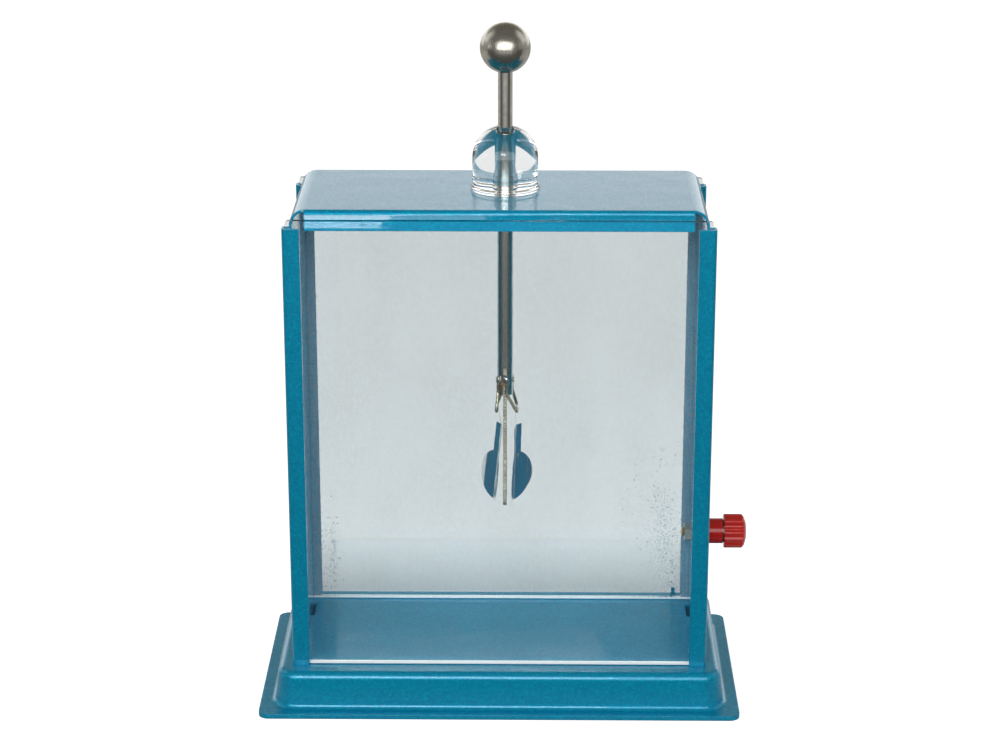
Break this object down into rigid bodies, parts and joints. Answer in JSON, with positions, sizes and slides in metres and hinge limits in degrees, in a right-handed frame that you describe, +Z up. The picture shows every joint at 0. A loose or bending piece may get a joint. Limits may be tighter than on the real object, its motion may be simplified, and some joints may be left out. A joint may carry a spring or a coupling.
{
  "type": "foil electroscope",
  "caption": "Foil electroscope: sheet-metal case with sliding glass panes, ball electrode through a clear stopper, fixed vane, hinged foil leaves and a screw terminal.",
  "frame": {"origin": "middle of the base footprint on the table that the object stands on", "axes": "+X to the right, towards the terminal; +Y to the rear; +Z up, along the electrode"},
  "size_m": [0.1902, 0.0972, 0.2622],
  "materials": {
    "teal_paint": "gloss hammered metallic enamel",
    "pane_glass": "clear float glass",
    "clear_acrylic": "polished clear acrylic",
    "nickel": "worn nickel plate",
    "steel": "tinned, soldered",
    "foil": "bright foil",
    "brass": "turned",
    "red_plastic": "moulded gloss"
  },
  "bodies": {
    "case": {"base": "teal_paint", "case_shell": "teal_paint", "insulator": "clear_acrylic", "insulator_washer": "steel", "insulator_nut": "brass", "electrode_rod": "nickel", "ball": "nickel", "fixed_vane": "steel", "vane_pin": "steel", "left_hanger": "steel", "right_hanger": "steel", "terminal_collar": "red_plastic", "terminal_stud": "brass", "terminal_washer": "steel", "terminal_nut": "steel"},
    "front_pane": {"front_glass": "pane_glass"},
    "rear_pane": {"rear_glass": "pane_glass"},
    "left_foil": {"left_leaf": "foil"},
    "right_foil": {"right_leaf": "foil"},
    "clamp_ring": {"clamp_washer": "steel"},
    "clamp_head": {"terminal_head": "red_plastic", "head_insert": "brass"}
  },
  "joints": [
    {"name": "front_pane_slide", "type": "slide", "parent": "case", "child": "front_pane", "axis": [0, 0, 1], "range_m": [0, 0.165]},
    {"name": "rear_pane_slide", "type": "slide", "parent": "case", "child": "rear_pane", "axis": [0, 0, 1], "range_m": [0, 0.165]},
    {"name": "left_leaf_swing", "type": "hinge", "parent": "case", "child": "left_foil", "pos_m": [-0.0014, 0.002, 0.1101], "axis": [0, 1, 0], "range_deg": [-2.2, 50]},
    {"name": "right_leaf_swing", "type": "hinge", "parent": "case", "child": "right_foil", "pos_m": [0.0065, 0.002, 0.1101], "axis": [0, 1, 0], "range_deg": [-50, 2.2]},
    {"name": "clamp_travel", "type": "slide", "parent": "case", "child": "clamp_ring", "axis": [1, 0, 0], "range_m": [0, 0.0042]},
    {"name": "clamp_turn", "type": "hinge", "parent": "clamp_ring", "child": "clamp_head", "pos_m": [0.0885, 0, 0.0594], "axis": [1, 0, 0], "range_deg": [0, 2160]}
  ],
  "couplings": [
    {"joint": "right_leaf_swing", "follows": "left_leaf_swing", "ratio": -1},
    {"joint": "clamp_turn", "follows": "clamp_travel", "rad_per_m": 8976}
  ]
}
